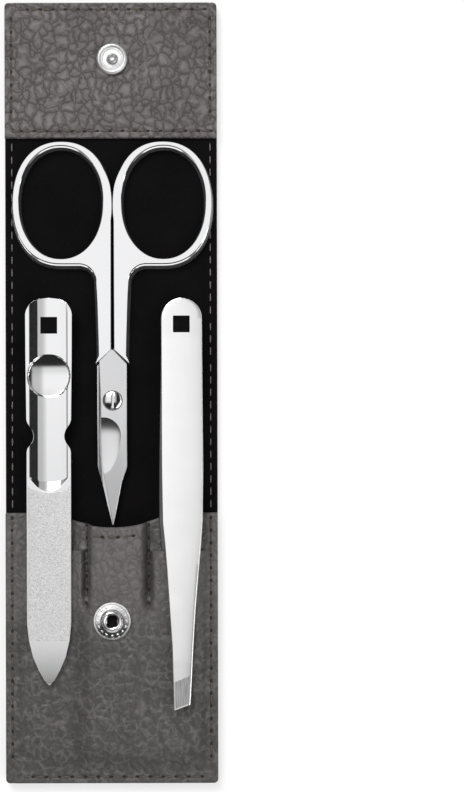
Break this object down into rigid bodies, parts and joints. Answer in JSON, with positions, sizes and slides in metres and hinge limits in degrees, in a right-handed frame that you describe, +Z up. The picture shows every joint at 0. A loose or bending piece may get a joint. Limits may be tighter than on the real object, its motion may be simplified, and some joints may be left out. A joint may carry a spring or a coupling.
{
  "type": "manicure set case",
  "caption": "Folding leather case with a snap flap and a scooped pocket, holding scissors, a nail file and slant tweezers.",
  "frame": {"origin": "under the middle of the open case, level with the face of the badge, which is the lowest point", "axes": "+Y along the case towards the end of the flap, +Z up out of the open case, +X to the right as seen from above"},
  "size_m": [0.0498, 0.183, 0.0097],
  "materials": {
    "outer_leather": "warm grey pebbled leather",
    "pocket_leather": "warm grey pebbled leather, finer grain",
    "facing_leather": "warm grey pebbled leather, coarse grain",
    "stiffener": "plain board",
    "lining": "black velour",
    "dark_thread": "dark brown thread",
    "light_thread": "grey thread",
    "snap_steel": "polished, nickel plated",
    "spring_wire": "drawn wire",
    "rivet": "plain",
    "badge_chrome": "polished",
    "badge_black": "black enamel",
    "scissors_steel": "mirror polished steel",
    "screw_steel": "polished steel",
    "file_steel": "mirror polished steel",
    "grit": "fine crystal grit",
    "black_mark": "black enamel",
    "tweezers_steel": "satin steel"
  },
  "bodies": {
    "case_back": {"back_leather": "outer_leather", "back_board": "stiffener", "back_lining": "lining", "lining_edge_stitching": "light_thread", "pocket_front": "pocket_leather", "pocket_edge_stitching": "dark_thread", "pocket_mouth_stitching": "dark_thread", "pocket_divider_stitching": "dark_thread", "socket_post": "rivet", "snap_socket": "snap_steel"},
    "spring_left": {"socket_spring_left": "spring_wire"},
    "spring_right": {"socket_spring_right": "spring_wire"},
    "spine": {"spine_leather": "outer_leather", "spine_lining": "lining", "spine_stitching": "light_thread"},
    "flap": {"flap_leather": "outer_leather", "flap_board": "stiffener", "flap_lining": "lining", "flap_facing": "facing_leather", "flap_edge_stitching": "dark_thread", "flap_lining_stitching": "light_thread", "facing_seam_stitching": "dark_thread", "snap_stud": "snap_steel", "stud_rivet": "rivet", "badge_frame": "badge_chrome", "badge_inlay": "badge_black"},
    "scissors_front": {"scissors_front_half": "scissors_steel", "scissors_screw": "screw_steel"},
    "scissors_back": {"scissors_back_half": "scissors_steel"},
    "file": {"file_blank": "file_steel", "file_grit_front": "grit", "file_grit_back": "grit", "file_mark": "black_mark"},
    "tweezers_upper": {"tweezers_upper_arm": "tweezers_steel", "tweezers_heel": "tweezers_steel", "tweezers_mark": "black_mark"},
    "tweezers_lower": {"tweezers_lower_arm": "tweezers_steel"}
  },
  "joints": [
    {"name": "flap_fold", "type": "hinge", "parent": "case_back", "child": "spine", "pos_m": [0, 0.00795, 0.0022], "axis": [1, 0, 0], "range_deg": [0, 90], "deforming": ["spine_leather", "spine_lining", "spine_stitching", "flap_leather", "flap_board", "flap_lining", "flap_lining_stitching"]},
    {"name": "flap_turn", "type": "hinge", "parent": "spine", "child": "flap", "pos_m": [0, 0.01735, 0.0022], "axis": [1, 0, 0], "range_deg": [0, 90]},
    {"name": "scissors_stow", "type": "slide", "parent": "case_back", "child": "scissors_front", "axis": [0, -1, 0], "range_m": [0, 0.055]},
    {"name": "file_stow", "type": "slide", "parent": "case_back", "child": "file", "axis": [0, -1, 0], "range_m": [0, 0.0145]},
    {"name": "tweezers_stow", "type": "slide", "parent": "case_back", "child": "tweezers_upper", "axis": [0, -1, 0], "range_m": [0, 0.0143]},
    {"name": "scissors_open", "type": "hinge", "parent": "scissors_front", "child": "scissors_back", "pos_m": [0.0004, -0.0018, 0.003], "axis": [0, 0, 1], "range_deg": [-40, 0]},
    {"name": "tweezers_squeeze", "type": "hinge", "parent": "tweezers_upper", "child": "tweezers_lower", "pos_m": [0.0162, 0.013, 0.00575], "axis": [1, 0, 0], "range_deg": [-1.2, 0], "stiffness_Nm_per_rad": 3},
    {"name": "left_wire_gives", "type": "slide", "parent": "case_back", "child": "spring_left", "axis": [1, 0, 0], "range_m": [-0.0003, 0], "stiffness_N_per_m": 400},
    {"name": "right_wire_gives", "type": "slide", "parent": "case_back", "child": "spring_right", "axis": [-1, 0, 0], "range_m": [-0.0003, 0], "stiffness_N_per_m": 400}
  ],
  "couplings": [
    {"joint": "flap_fold", "follows": "scissors_stow", "rad_per_m": 28.56},
    {"joint": "flap_turn", "follows": "scissors_stow", "rad_per_m": 28.56},
    {"joint": "file_stow", "follows": "scissors_stow", "ratio": 0.26363},
    {"joint": "tweezers_stow", "follows": "scissors_stow", "ratio": 0.25999}
  ]
}
